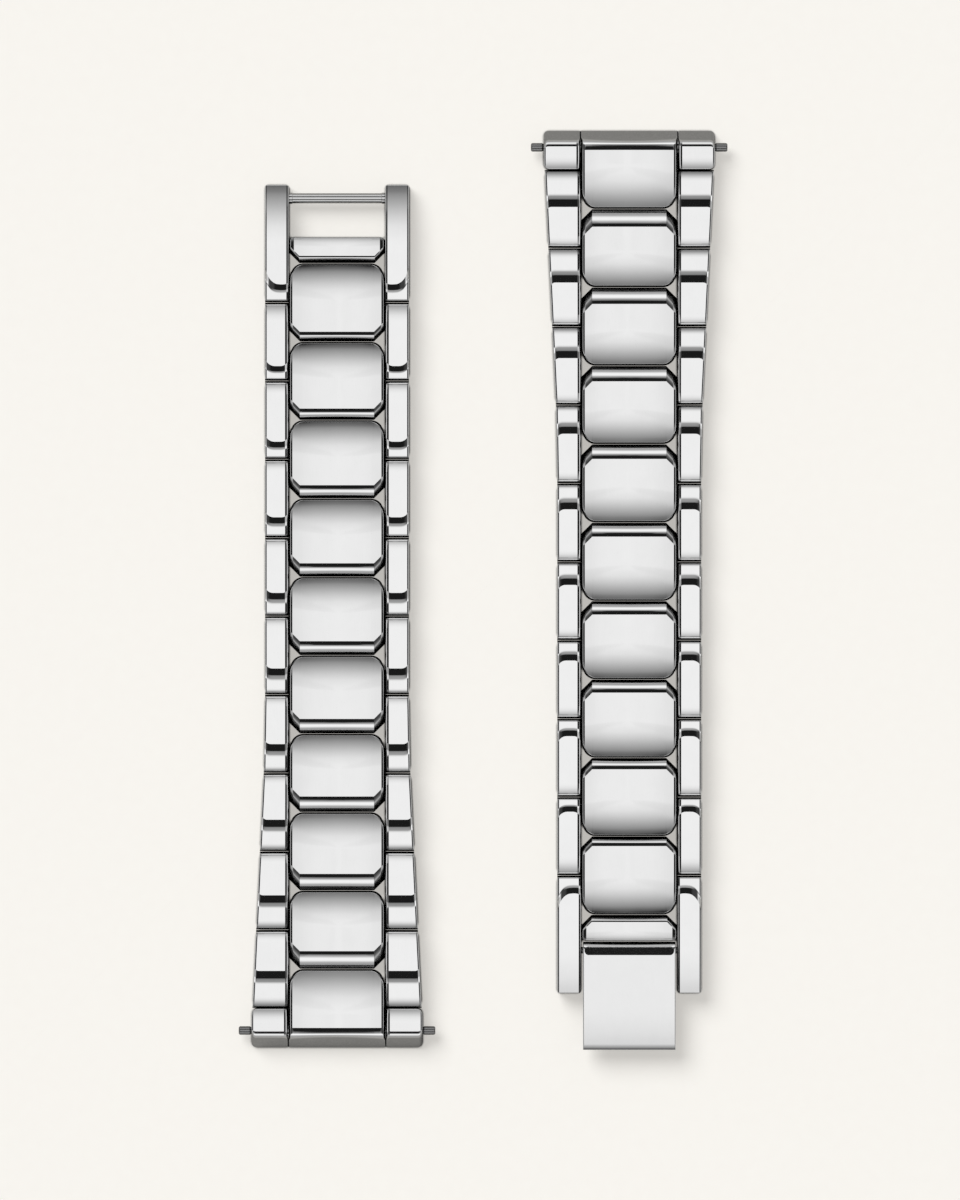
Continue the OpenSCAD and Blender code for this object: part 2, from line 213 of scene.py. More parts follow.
# Sizes of pieces are in millimetres and angles in degrees.
PITCH = 7.3
LINK = 7.0
HALF_GAP = 0.15
PIN_Z = 1.3
END_R = 1.675
CENTRE_H = 2.8
CENTRE_HALF = 4.47
BELLY = 0.12
CENTRE_EDGE = CENTRE_HALF - BELLY
CROWN_R = 50
CORNER_R = 1.2
CENTRE_FACET = (0.15, 0.08)
CENTRE_TILT, FACET_TILT = 15, 19
TURNING_R = 0.55
LINK_COUNT = 9
CREASE, SHALLOW, STEEP = 16, 21.5, 48
ROUND_R = 1.81
ROUND_Z = PIN_Z + math.sqrt(ROUND_R ** 2 - END_R ** 2)
ROUND_STEPS, SLOPE_STEPS, EDGE_STEPS = 9, 10, 7
SAME_X, SAME_POINT, WELD = 1e-4, 2e-4, 3e-4
# Where the watch end of each strand lies, in metres, and its turn.
STRANDS = {"left": (-0.0136, -0.042575, 0), "right": (0.0136, 0.042775, math.pi)}


def sin(degrees):
    return math.sin(math.radians(degrees))


def cos(degrees):
    return math.cos(math.radians(degrees))


def asin(value):
    return math.degrees(math.asin(value))


def pick(test):
    """Selects the points, and what lies between them, that pass a test of their place."""
    mesh = bmesh.from_edit_mesh(bpy.context.object.data)
    bpy.ops.mesh.select_all(action="DESELECT")
    for point in mesh.verts:
        point.select_set(test(point.co))
    mesh.select_flush(True)
    bmesh.update_edit_mesh(bpy.context.object.data)


def draw_view(x, start, moves):
    """Draws one side view at x: straight to (y, z), or clockwise round (y, z, degrees, steps)."""
    y, z = start
    bpy.ops.mesh.primitive_plane_add(size=0.1, location=(x, y, z))
    bpy.ops.mesh.merge(type="CENTER")
    for move in moves:
        if len(move) == 2:
            bpy.ops.mesh.extrude_region_move(
                TRANSFORM_OT_translate={"value": (0, move[0] - y, move[1] - z)})
            y, z = move
            continue
        centre_y, centre_z, degrees, steps = move
        if abs(degrees) < 1e-3:
            for step in range(steps):
                bpy.ops.mesh.extrude_region_move(TRANSFORM_OT_translate={"value": (0, 0, 0)})
            continue
        bpy.ops.mesh.spin(steps=steps, angle=math.radians(degrees), center=(x, centre_y, centre_z),
                          axis=(1, 0, 0))
        dy, dz = y - centre_y, z - centre_z
        y = centre_y + dy * cos(degrees) + dz * sin(degrees)
        z = centre_z - dy * sin(degrees) + dz * cos(degrees)
    ends = (start, (y, z))
    pick(lambda p: abs(p.x - x) < SAME_X and any(
        abs(p.y - a) < SAME_POINT and abs(p.z - b) < SAME_POINT for a, b in ends))
    bpy.ops.mesh.edge_face_add()


def new_piece(name):
    """An empty mesh at the origin, open for work, to draw a piece in, in millimetres."""
    bpy.ops.object.mode_set(mode="OBJECT")
    bpy.ops.object.select_all(action="DESELECT")
    bpy.ops.mesh.primitive_plane_add(size=1, location=(0, 0, 0))
    bpy.context.object.name = name
    bpy.ops.object.mode_set(mode="EDIT")
    bpy.ops.mesh.delete(type="VERT")
    return bpy.context.object


def choose(piece):
    """Makes a piece the active one, and selects nothing else."""
    bpy.ops.object.select_all(action="DESELECT")
    piece.select_set(True)
    bpy.context.view_layer.objects.active = piece


def modify(piece, kind, **settings):
    """Adds a modifier and applies it."""
    choose(piece)
    bpy.ops.object.modifier_add(type=kind)
    made = piece.modifiers[-1]
    for setting, value in settings.items():
        setattr(made, setting, value)
    bpy.ops.object.modifier_apply(modifier=made.name)


def bridge_views(name, views, open_start=False):
    """Draws side views, each (x, start, moves), and joins each to the next. Closes both ends, or
    with open_start only the last, where the piece is mirrored at its first view."""
    piece = new_piece(name)
    for x, start, moves in views:
        draw_view(x, start, moves)
    places = [view[0] for view in views]
    for here, there in zip(places, places[1:]):
        pick(lambda p: abs(p.x - here) < SAME_X or abs(p.x - there) < SAME_X)
        bpy.ops.mesh.bridge_edge_loops()
    for x in places[-1:] if open_start else (places[0], places[-1]):
        pick(lambda p: abs(p.x - x) < SAME_X)
        bpy.ops.mesh.edge_face_add()
    bpy.ops.mesh.select_all(action="SELECT")
    bpy.ops.mesh.remove_doubles(threshold=WELD)
    bpy.ops.mesh.dissolve_degenerate(threshold=1e-4)
    bpy.ops.mesh.normals_make_consistent(inside=False)
    bpy.ops.object.mode_set(mode="OBJECT")
    return piece


def bore(piece, y, z, radius, half):
    """Drills a round hole across the strand."""
    bpy.ops.object.select_all(action="DESELECT")
    bpy.ops.mesh.primitive_cylinder_add(vertices=48, radius=radius, depth=2 * half,
                                        location=(0, y, z), rotation=(0, math.pi / 2, 0))
    drill = bpy.context.object
    modify(piece, "BOOLEAN", operation="DIFFERENCE", solver="EXACT", object=drill)
    bpy.data.objects.remove(drill)


def polish(piece, angle=14):
    """Shades the rounded faces smooth and keeps the flat ones flat."""
    choose(piece)
    bpy.ops.object.shade_smooth_by_angle(angle=math.radians(angle))
    modify(piece, "WEIGHTED_NORMAL", keep_sharp=True, weight=70)


def lay(piece, strand, start, name, body, slot, *nodes):
    """Lays a copy of a piece in its strand, at a distance from the watch end, on its body if it
    has one, and in the place of the nodes. The slot is not used."""
    choose(piece)
    bpy.ops.object.duplicate(linked=False)
    copy = bpy.context.object
    copy.name = name
    copy.data.name = name
    x, y, turn = STRANDS[strand]
    copy.location = (x, y + start * 0.001 * math.cos(turn), 0)
    copy.rotation_euler = (0, 0, turn)
    copy.scale = (0.001, 0.001, 0.001)
    bpy.ops.object.transform_apply(location=True, rotation=True, scale=True)
    if body:
        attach(copy, body)
    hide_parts(*nodes)


def rounding(d, r):
    """Depth lost at a distance d from an edge that is rounded to a radius r."""
    return r - math.sqrt(r * r - (r - d) ** 2) if d < r else 0


def facet(d, width, r, tilt=FACET_TILT):
    """Depth lost at a distance d from an edge with a narrow facet and a small rounding below it."""
    round_in = r * (1 - sin(tilt))
    if d >= width + round_in:
        return 0
    if d >= round_in:
        return (width + round_in - d) * math.tan(math.radians(tilt))
    return width * math.tan(math.radians(tilt)) + r * cos(tilt) - math.sqrt(r * r - (r - d) ** 2)


def facet_places(width, r, tilt=FACET_TILT):
    """Distances from such an edge at which side views are drawn."""
    round_in = r * (1 - sin(tilt))
    return [r * (1 - sin(t)) for t in (90, 78, 66, 54, 42, 31)] + [round_in, round_in + width]


def nose(y, top, reach, ledge):
    """Moves from under the front of a link up round its nose, in three arcs that grow shallower,
    to the crease of its top. The arcs need a height that grows with their reach, and where the
    top is too low for it, they take it from the round below."""
    soft = ledge / (sin(SHALLOW) - sin(CREASE))
    drop = soft * (cos(CREASE) - cos(SHALLOW))
    rise_by = max(top - drop - ROUND_Z, 0.694 * (reach - ledge) + 0.1)
    front_z = top - drop - rise_by
    front_y = END_R - math.sqrt(ROUND_R ** 2 - (front_z - PIN_Z) ** 2)
    across = reach - ledge - front_y
    a, b = sin(STEEP) - sin(SHALLOW), 1 - sin(STEEP)
    c, d = cos(SHALLOW) - cos(STEEP), cos(STEEP)
    main = (across * d - b * rise_by) / (a * d - b * c)
    small = (a * rise_by - across * c) / (a * d - b * c)
    small_y = y + front_y + small
    main_y = small_y + (main - small) * sin(STEEP)
    main_z = front_z - (main - small) * cos(STEEP)
    soft_y = main_y + (soft - main) * sin(SHALLOW)
    soft_z = main_z - (soft - main) * cos(SHALLOW)
    foot = asin(PIN_Z / ROUND_R)
    start = (y + END_R - ROUND_R * cos(foot), 0)
    return start, [
        (y + END_R, PIN_Z, foot + asin((front_z - PIN_Z) / ROUND_R), ROUND_STEPS),
        (small_y, front_z, 90 - STEEP, 4), (main_y, main_z, STEEP - SHALLOW, 9),
        (soft_y, soft_z, SHALLOW - CREASE, 3), (y + reach, top)]


def round_end(end, low=0.0):
    """Moves down the end of a link and round under it, about its pin."""
    above = asin((ROUND_Z - PIN_Z) / ROUND_R)
    below = asin((PIN_Z - low) / ROUND_R)
    return [(end, ROUND_Z), (end - END_R, PIN_Z, above + below, ROUND_STEPS)]


def slope(end, top, run, r, edge):
    """The moves down a soft slope and round the edge at its end."""
    turn = asin((run - edge) / (r - edge))
    edge_z = top - r + (r - edge) * cos(turn)
    return [(end - run, top), (end - run, top - r, turn, SLOPE_STEPS),
            (end - edge, edge_z, 90 - turn, EDGE_STEPS)]


def steel(name, light_tone, dark_tone, gloss, worn, painted_wall_level=0.45, faces=(0.12, 0.42),
          grain=(9000, 700, 9000)):
    """Polished steel: hairlines, slow waves of the buffing wheel, rougher walls, and painted shade
    on the walls and in the gaps.
    """
    made, shade = material(name)
    place = shade.node("ShaderNodeTexCoord", out=3)
    normal = shade.node("ShaderNodeTexCoord", out=1)
    up = shade.node("ShaderNodeSeparateXYZ", {"Vector": normal}, out=2)
    # Faces that turn away from above get a rougher finish, and also a darker colour, which is
    # painted shade.
    polished = up.rise(*faces)
    hairs = shade.node("ShaderNodeMapping", {"Vector": place, "Scale": grain})
    hairs = shade.node("ShaderNodeTexNoise", {"Vector": hairs, "Scale": 1, "Detail": 4})
    waves = shade.node("ShaderNodeTexNoise", {"Vector": place, "Scale": 260, "Detail": 1})
    cloud = shade.node("ShaderNodeTexNoise", {"Vector": place, "Scale": 900, "Detail": 4})
    tone = (cloud * 0.6 + hairs * 0.4).blend((*[dark_tone] * 3, 1), (*[light_tone] * 3, 1))
    painted_wall_shade = (hairs * 0.5 + 0.5).blend((0, 0, 0, 1), (*[light_tone * painted_wall_level] * 3, 1))
    tone = polished.blend(painted_wall_shade, tone)
    # Painted shade: the colour goes nearly black wherever the steel is hemmed in within 0.6 mm, in
    # the gaps between links, in hollows and in bores.
    painted_gap_shade = shade.node("ShaderNodeAmbientOcclusion", {"Distance": 0.0006}, out=1, samples=4)
    tone = painted_gap_shade.rise(0.35, 0.8).blend((0.006, 0.006, 0.006, 1), tone)
    rough = gloss + (worn - gloss) * (cloud * 0.5 + hairs * 0.5) + (1 - polished) * 0.2
    height = waves + hairs * 0.035
    bump = shade.node("ShaderNodeBump", {"Height": height, "Strength": 1.0, "Distance": 0.000006})
    surface = shade.node("ShaderNodeBsdfPrincipled", {
        "Base Color": tone, "Metallic": 1.0, "Roughness": rough, "Normal": bump})
    shade.node("ShaderNodeOutputMaterial", {"Surface": surface})
    return made


def centre_top(x, edge_facet=CENTRE_FACET):
    """Height of a centre piece at x: crowned, with a fine facet above sides that bulge a little."""
    d = CENTRE_EDGE - x
    crown = CENTRE_H - CROWN_R + math.sqrt(CROWN_R ** 2 - x * x)
    return crown - facet(max(d, 0.0), *edge_facet, CENTRE_TILT) + 3 * min(d, 0.0)


def corner_edge(d):
    """Length of the rounded edge at the far end, which widens round the corner."""
    return 0.05 + 0.45 * max(0.0, 1 - max(d, 0.0) / CORNER_R) ** 1.5


def centre_view(x, share):
    """Side view of a centre link at x: the share is 0 at the clasp, where noses are short, to 1.
    The corners at the nose are cut off slantwise, and those at the slope are rounded."""
    d = CENTRE_EDGE - x
    top = centre_top(x)
    cut = max(0.0, 0.9 - d)
    end = LINK - rounding(max(d, 0.0), CORNER_R) + min(d, 0.0)
    reach = 0.74 + 0.3 * min(1, 4 * share) + 0.5 * share ** 2
    start, moves = nose(cut, top, reach, 0.28 + 0.13 * share)
    return x, start, moves + slope(end, top, 3.3 + end - LINK, 12, corner_edge(d)) + round_end(end)


CENTRE_PLACES = [0, 0.65, 1.35, 2.05, 2.65, 3.15, 3.28, 3.45, 3.52, 3.63, 3.75, 3.87, 3.96, 4.05]
CENTRE_PLACES += [CENTRE_EDGE - d for d in reversed(facet_places(*CENTRE_FACET, CENTRE_TILT))]
CENTRE_PLACES += [CENTRE_HALF - BELLY / 2, CENTRE_HALF]
centre_steel = steel("polished_centre_steel", 0.84, 0.78, 0.03, 0.06, painted_wall_level=0.3, faces=(0.4, 0.95))
for n in range(1, LINK_COUNT + 1):
    links = bridge_views("centre_master", [
        centre_view(x, (n - 1) / (LINK_COUNT - 1)) for x in CENTRE_PLACES], open_start=True)
    modify(links, "MIRROR", merge_threshold=0.001)
    for y in (END_R, LINK - END_R):
        bore(links, y, PIN_Z, TURNING_R, 6)
    polish(links)
    links.data.materials.append(centre_steel)
    for strand in STRANDS:
        name = f"{strand}_centre_link_{n}"
        start = PITCH + (LINK_COUNT - n) * PITCH + HALF_GAP
        lay(links, strand, start, name + "_body", name, "centre_steel", name)
    bpy.data.objects.remove(links)


# Side plates, nine pairs in each strand, each pair on its own two pins.
# Polished steel plates with a flat bright face that ends in a curved crease. Before it lies a low,
# hollowed land, longer in each row towards the watch. The outer faces follow the bracelet's taper.

SIDE_H = 2.6
PLATE_X = 4.5
INNER_FACET = (0.15, 0.26)
OUTER_FACET = (0.1, 0.1)
UNDER_R = 0.15
LAND, LAND_GROWTH = 1.2, 2.15
ROW_START = 3.65
WATCH_WIDTH, BAND_WIDTH = 15.75, 13.4
TAPER_BY, TAPER_LENGTH = 2.35, 24.65
PIN_R, PRESSED_R = 0.5, 0.52
PIN_INSET = 0.15


def land_moves(top, low, run, back):
    """The moves from the bottom of a plate's end over its low land to the crease of its top: up
    round the pin, over an edge, along the falling and the flat land, through its hollow and up a
    straight step. The crease lies run along the plate, and back further where it curves away."""
    step, edge, tilt = 0.4 + 0.06 * run, 0.1, 14.8
    mild, full = 12, 14.5
    span = run - 0.65 - 0.06 * run
    hollow, fall = min(span / 2, 0.7), 0.06 * span + 0.12 * span ** 2
    soft = 0.4 * hollow / sin(mild)
    firm = 0.6 * hollow / (sin(full) - sin(mild))
    hollow_y = run + back - step - hollow - min(0.09, back / 4)
    land_z = (top - step * math.tan(math.radians(FACET_TILT)) - soft * (1 - cos(mild))
              - firm * (cos(mild) - cos(full)))
    fall_r = fall / sin(tilt)
    wall_z = land_z - fall_r * (1 - cos(tilt)) - edge * cos(tilt)
    knee_z = min(wall_z, ROUND_Z)
    front = END_R - math.sqrt(ROUND_R ** 2 - (knee_z - PIN_Z) ** 2)
    foot = asin((PIN_Z - low) / ROUND_R)
    firm_y = hollow_y + (soft - firm) * sin(mild)
    firm_z = land_z + soft + (firm - soft) * cos(mild)
    moves = [(END_R, PIN_Z, foot + asin((knee_z - PIN_Z) / ROUND_R), ROUND_STEPS), (front, wall_z),
             (front + edge, wall_z, 90 - tilt, 6),
             (front + edge * (1 - sin(tilt)) + fall, land_z - fall_r, tilt, 6), (hollow_y, land_z),
             (hollow_y, land_z + soft, -mild, 5), (firm_y, firm_z, mild - full, 3),
             (run + back, top)]
    return (END_R - math.sqrt(ROUND_R ** 2 - (PIN_Z - low) ** 2), low), moves


def plate_top(x, inner, outer, inner_facet=INNER_FACET):
    """Height of a plate at x, where inner and outer are the places of its two long faces."""
    return SIDE_H - facet(x - inner, *inner_facet) - facet(outer - x, *OUTER_FACET)


def plate_view(x, inner, outer, length, run, tail):
    """Side view of a plate at x: run is the length of its land, tail the length of its slope. The
    crease curves away at the plate's long faces, less where the land is longer."""
    top = plate_top(x, inner, outer)
    low = rounding(outer - x, UNDER_R)
    square = (run - LAND) / LAND_GROWTH
    back = max(rounding(x - inner, 0.75 - 0.45 * square), rounding(outer - x, 0.95 - 0.5 * square))
    start, moves = land_moves(top, low, run, back)
    return x, start, moves + slope(length, top, tail, tail * 4.3, 0.25) + round_end(length, low)


def plate_places(inner, outer, inner_facet=INNER_FACET):
    """Where the side views of a plate are drawn: close together at its two long edges."""
    from_inner = facet_places(*inner_facet) + [0.34, 0.4, 0.47, 0.6, 0.75]
    from_outer = facet_places(*OUTER_FACET) + [0.19, 0.24, 0.3, 0.4, 0.52, 0.65, 0.8, 0.95]
    middle = (inner + outer) / 2
    return [inner + d for d in from_inner] + [middle] + [outer - d for d in reversed(from_outer)]


def band(y):
    """Half the bracelet's width at a distance from the watch end."""
    return max(BAND_WIDTH, WATCH_WIDTH - TAPER_BY * (y - ROW_START) / TAPER_LENGTH) / 2


def taper(piece, inner, outer, tilt):
    """Turns the outer half of a plate to follow the bracelet's taper, each side view by a share."""
    margin = 0.2
    bpy.context.view_layer.objects.active = piece
    bpy.ops.object.mode_set(mode="EDIT")
    mesh = bmesh.from_edit_mesh(piece.data)
    places = {}
    for point in mesh.verts:
        places.setdefault(round(point.co.x, 4), []).append(point)
    for x, points in places.items():
        share = (x - inner - margin) / (outer - inner - 2 * margin)
        share = min(1.0, max(0.0, share))
        bpy.ops.mesh.select_all(action="DESELECT")
        for point in points:
            point.select_set(True)
        mesh.select_flush(True)
        bpy.ops.transform.rotate(value=-share * tilt, orient_axis="Z", center_override=(x, 0, 0))
    bpy.ops.object.mode_set(mode="OBJECT")


side_steel = steel("polished_side_steel", 0.86, 0.8, 0.03, 0.06, painted_wall_level=0.7, faces=(0.25, 0.4))
pin_steel = steel("drawn_pin_steel", 0.62, 0.5, 0.16, 0.3, painted_wall_level=0.8, grain=(600, 6000, 6000))
for n in range(1, LINK_COUNT + 1):
    start = ROW_START + (LINK_COUNT - n) * PITCH + HALF_GAP
    run = LAND + LAND_GROWTH * (n - 1) / (LINK_COUNT - 1)
    tail = 0.95 + 0.75 / n ** 2
    outer = band(start)
    plates = bridge_views("plate_master", [
        plate_view(x, PLATE_X, outer, LINK, run, tail) for x in plate_places(PLATE_X, outer)])
    narrowing = math.atan2(outer - band(start + LINK), LINK)
    if narrowing > 0.001:
        taper(plates, PLATE_X, outer, narrowing)
    modify(plates, "MIRROR")
    for y in (END_R, LINK - END_R):
        bore(plates, y, PIN_Z, PRESSED_R, 12)
    polish(plates)
    plates.data.materials.append(side_steel)
    bpy.ops.object.select_all(action="DESELECT")
    for y in (END_R, LINK - END_R):
        reach = band(start + y) - PIN_INSET
        bpy.ops.mesh.primitive_cylinder_add(vertices=48, radius=PIN_R, depth=2 * reach,
                                            location=(0, y, PIN_Z), rotation=(0, math.pi / 2, 0))
        if y == END_R:
            pins = bpy.context.object
    pins.select_set(True)
    bpy.context.view_layer.objects.active = pins
    bpy.ops.object.join()
    bpy.ops.object.transform_apply(location=True, rotation=True, scale=True)
    modify(pins, "BEVEL", width=0.08, segments=3, limit_method="ANGLE",
           angle_limit=math.radians(50))
    polish(pins, 30)
    pins.data.materials.append(pin_steel)
    for strand in STRANDS:
        node = f"{strand}_side_links_{n}"
        lay(plates, strand, start, f"{strand}_side_plates_{n}", node, "side_steel", node)
        lay(pins, strand, start, f"{strand}_link_pins_{n}", node, "pin_steel", node)
    bpy.data.objects.remove(plates)
    bpy.data.objects.remove(pins)


# End links, one at the watch end of each strand.
# A solid polished steel middle with a tongue for the first link pin, bored for the spring bar. A
# lip rolls over into the slanted satin face that meets the watch case.

SLANT = 62
SLANT_Z = 0.5
SEAM_X = 4.6
SHELF_H = 2.5
TONGUE_END = PITCH - HALF_GAP
BLOCK_END = 3.62
BAR_Y = 1.56
BAR_HOLE_R = 0.79


def end_front(top, ledge, lip_y, back=0.0):
    """The moves up the slanted end face, over its lip and a narrow ledge to the crease."""
    soft = ledge / (sin(SHALLOW) - sin(CREASE))
    z = top - soft * (cos(CREASE) - cos(SHALLOW))
    steepness = sin(SLANT) / cos(SLANT)
    across, down = sin(SLANT) - sin(SHALLOW), cos(SHALLOW) - cos(SLANT)
    y = min(lip_y, (z - SLANT_Z + 1.15 * (steepness * across - down)) / steepness)
    lip = (SLANT_Z + steepness * y - z) / (steepness * across - down)
    y += back
    return [(back, SLANT_Z), (y - lip * across, z - lip * down),
            (y + lip * sin(SHALLOW), z - lip * cos(SHALLOW), SLANT - SHALLOW, 8),
            (y + soft * sin(SHALLOW), z - soft * cos(SHALLOW), SHALLOW - CREASE, 3),
            (y + ledge, top)]


def end_view(x):
    """Side view of the end link at x: the tongue, or the narrow shelf beside it, which has points
    without a distance between them where the tongue has its slope and its round end."""
    if x > CENTRE_HALF:
        top = SHELF_H - rounding(SEAM_X - x, 0.05)
        edge_r = 0.12
        edge = (BLOCK_END - edge_r, top)
        moves = end_front(top, 0.05, 1.15) + [edge, (*edge, 0, SLOPE_STEPS)]
        moves += [(edge[0], top - edge_r, 90, EDGE_STEPS)]
        return x, (0, 0), moves + [(BLOCK_END, 0), (BLOCK_END, 0, 0, ROUND_STEPS)]
    d = CENTRE_EDGE - x
    top = centre_top(x)
    end = TONGUE_END - rounding(max(d, 0.0), CORNER_R) + min(d, 0.0)
    moves = end_front(top, 0.5, 1.35)
    moves += slope(end, top, 4.1 + end - TONGUE_END, 15.2, corner_edge(d))
    return x, (0, 0), moves + round_end(end)


end_steel = steel("polished_end_steel", 0.84, 0.79, 0.03, 0.07, painted_wall_level=0.6, faces=(0.4, 0.75))
SHELF_PLACES = [4.474, 4.52, 4.55, 4.58, SEAM_X]
end_master = bridge_views("end_master", [end_view(x) for x in CENTRE_PLACES + SHELF_PLACES],
                          open_start=True)
modify(end_master, "MIRROR", merge_threshold=0.001)
bore(end_master, BAR_Y, PIN_Z, BAR_HOLE_R, 6)
bore(end_master, TONGUE_END - END_R, PIN_Z, TURNING_R, 6)
polish(end_master)
end_master.data.materials.append(end_steel)
for strand in STRANDS:
    lay(end_master, strand, 0, f"{strand}_end_link_body", f"{strand}_end", "centre_steel",
        f"{strand}_end_link")
bpy.data.objects.remove(end_master)


# End blocks, two beside each end link.
# Polished steel blocks, soldered to the sides of the end link, which fill the space between the
# lugs of the watch. Their slanted faces run on from the end link's.

LUG_X = 7.95


def block_view(x):
    """Side view of a block at x."""
    low = rounding(LUG_X - x, UNDER_R)
    front = rounding(LUG_X - x, 0.4)
    end = BLOCK_END - rounding(LUG_X - x, 0.5)
    top = plate_top(x, SEAM_X, LUG_X)
    moves = end_front(top, 0.22, 1.3, front) + slope(end, top, end - BLOCK_END + 1.35, 5.3, 0.12)
    return x, (front, low), moves + [(end, low)]


blocks = bridge_views("block_master", [block_view(x) for x in plate_places(SEAM_X, LUG_X)])
modify(blocks, "MIRROR")
bore(blocks, BAR_Y, PIN_Z, BAR_HOLE_R, 12)
polish(blocks)
blocks.data.materials.append(end_steel)
for strand in STRANDS:
    lay(blocks, strand, 0, f"{strand}_end_block_pair", f"{strand}_end", "side_steel",
        f"{strand}_end_blocks")
bpy.data.objects.remove(blocks)


# Spring bars, one in each end link.
# A drawn steel tube with inturned lips, two turned tips that slide in it and stick out for the
# lugs of the watch, and a wound wire spring that pushes them apart.


def turned(name, outline, y, z, steps=48):
    """A piece turned on a lathe, about a line across the strand through y and z. Its outline is
    a row of (x, radius) points."""
    piece = new_piece(name)
    x, r = outline[0]
    bpy.ops.mesh.primitive_plane_add(size=0.1, location=(x, y, z + r))
    bpy.ops.mesh.merge(type="CENTER")
    for next_x, next_r in outline[1:]:
        bpy.ops.mesh.extrude_region_move(
            TRANSFORM_OT_translate={"value": (next_x - x, 0, next_r - r)})
        x, r = next_x, next_r
    bpy.ops.mesh.select_all(action="SELECT")
    bpy.ops.mesh.spin(steps=steps, angle=2 * math.pi, center=(0, y, z), axis=(1, 0, 0))
    bpy.ops.mesh.select_all(action="SELECT")
    bpy.ops.mesh.remove_doubles(threshold=WELD)
    bpy.ops.mesh.normals_make_consistent(inside=False)
    bpy.ops.object.mode_set(mode="OBJECT")
    polish(piece, 30)
    return piece


TIP = [(4.7, 0), (4.7, 0.43), (4.76, 0.49), (5.84, 0.49), (5.9, 0.43), (5.9, 0.4), (7.35, 0.4),
       (7.35, 0.7), (7.4, 0.75), (7.9, 0.75), (7.95, 0.7), (7.95, 0.35), (8.04, 0.35), (8.12, 0.4),
       (9.0, 0.4), (9.08, 0.375), (9.13, 0.32), (9.15, 0.25), (9.15, 0)]
tip_steel = steel("turned_tip_steel", 0.3, 0.22, 0.16, 0.28, painted_wall_level=0.9, grain=(7000, 500, 500))
tube_steel = steel("drawn_tube_steel", 0.6, 0.5, 0.2, 0.35, painted_wall_level=0.9, grain=(600, 6000, 6000))
spring_steel = steel("spring_wire_steel", 0.55, 0.45, 0.15, 0.3, painted_wall_level=0.9, grain=(5000, 5000, 5000))
for side, letter in ((1, "a"), (-1, "b")):
    tip = turned("tip_master", [(side * x, r) for x, r in TIP], BAR_Y, PIN_Z)
    tip.data.materials.append(tip_steel)
    for strand in STRANDS:
        node = f"{strand}_spring_bar_tip_{letter}"
        lay(tip, strand, 0, node + "_turned", node, "pin_steel", node)
    bpy.data.objects.remove(tip)

# The coil is drawn in two halves that meet in the middle.
COIL_PITCH = 0.33
COIL_TURNS = 14
COIL_STEPS = 20
COIL_R, WIRE_R = 0.41, 0.08
coil = new_piece("coil_master")
bpy.ops.mesh.primitive_circle_add(vertices=10, radius=WIRE_R, location=(0, 0, COIL_R),
                                  rotation=(math.pi / 2, 0, 0))
bpy.ops.object.mode_set(mode="OBJECT")
modify(coil, "SCREW", axis="X", screw_offset=COIL_PITCH, iterations=COIL_TURNS, steps=COIL_STEPS,
       render_steps=COIL_STEPS)
bpy.ops.object.mode_set(mode="EDIT")
bpy.ops.mesh.select_all(action="SELECT")
bpy.ops.mesh.fill_holes(sides=12)
bpy.ops.mesh.select_all(action="SELECT")
bpy.ops.mesh.normals_make_consistent(inside=False)
bpy.ops.transform.translate(value=(0, BAR_Y, PIN_Z))
bpy.ops.object.mode_set(mode="OBJECT")
polish(coil, 50)
coil.data.materials.append(spring_steel)
for letter, side in (("a", 1), ("b", -1)):
    if side < 0:
        choose(coil)
        bpy.ops.object.mode_set(mode="EDIT")
        bpy.ops.mesh.select_all(action="SELECT")
        bpy.ops.transform.rotate(value=math.pi, orient_axis="Z", center_override=(0, BAR_Y, 0))
        bpy.ops.object.mode_set(mode="OBJECT")
    for strand, (x, y, turn) in STRANDS.items():
        lay(coil, strand, 0, f"{strand}_spring_wire_{letter}", None, "pin_steel",
            f"{strand}_spring_bar_coil")
        y += 0.001 * BAR_Y * math.cos(turn)
        reach = 0.001 * COIL_PITCH * COIL_TURNS * side * math.cos(turn)
        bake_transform(bpy.context.object, f"{strand}_end", f"{strand}_spring_bar_tip_{letter}",
                 (x, y, 0.001 * PIN_Z), (x + reach, y, 0.001 * PIN_Z))
for strand in STRANDS:
    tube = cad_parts[f"{strand}_spring_bar_tube"]
    tube.data.materials.clear()
    tube.data.materials.append(tube_steel)
bpy.data.objects.remove(coil)


# Clasp frames, one at the clasp end of each strand.
# Two long polished legs, a short domed bridge between them, and two pins: one that the first
# centre link turns on, and one that holds the bridge.

LEG_START = 69.5
LEG = 10.8
BAND_X = BAND_WIDTH / 2
BRIDGE_START = 73.15
BRIDGE = 2.25
BRIDGE_PIN = 4.9
BRIDGE_FACET = (0.3, 0.08)
LEG_FACET = (0.14, 0.1)
CLASP_BAR_Y = 9.55
LEAF_PIN_Y = 6.8
KNUCKLE_Z = 1.95
LEG_LAND = 1.5
ROD_X = BAND_X - PIN_INSET


def bridge_view(x):
    """Side view of the bridge at x."""
    d = CENTRE_EDGE - x
    top = centre_top(x, BRIDGE_FACET)
    end = BRIDGE - rounding(max(d, 0.0), 0.2)
    start, moves = nose(max(0.0, 0.85 - d), top, 0.5, 0.12)
    return x, start, moves + slope(end, top, 0.9 + end - BRIDGE, 4.6, 0.2) + [(end, 0)]


def leg_view(x, tail, tail_r):
    """Side view of a leg at x: tail and tail_r are the length and radius of its slope."""
    top = plate_top(x, PLATE_X, BAND_X, LEG_FACET)
    low = rounding(BAND_X - x, UNDER_R)
    back = max(rounding(x - PLATE_X, 0.55) / 2, 1.5 * rounding(BAND_X - x, 1.35))
    start, moves = land_moves(top, low, LEG_LAND, back)
    end = LEG - rounding(min(x - PLATE_X, BAND_X - x), 0.22)
    return x, start, moves + slope(end, top, tail + end - LEG, tail_r, 0.12) + [(end, low)]


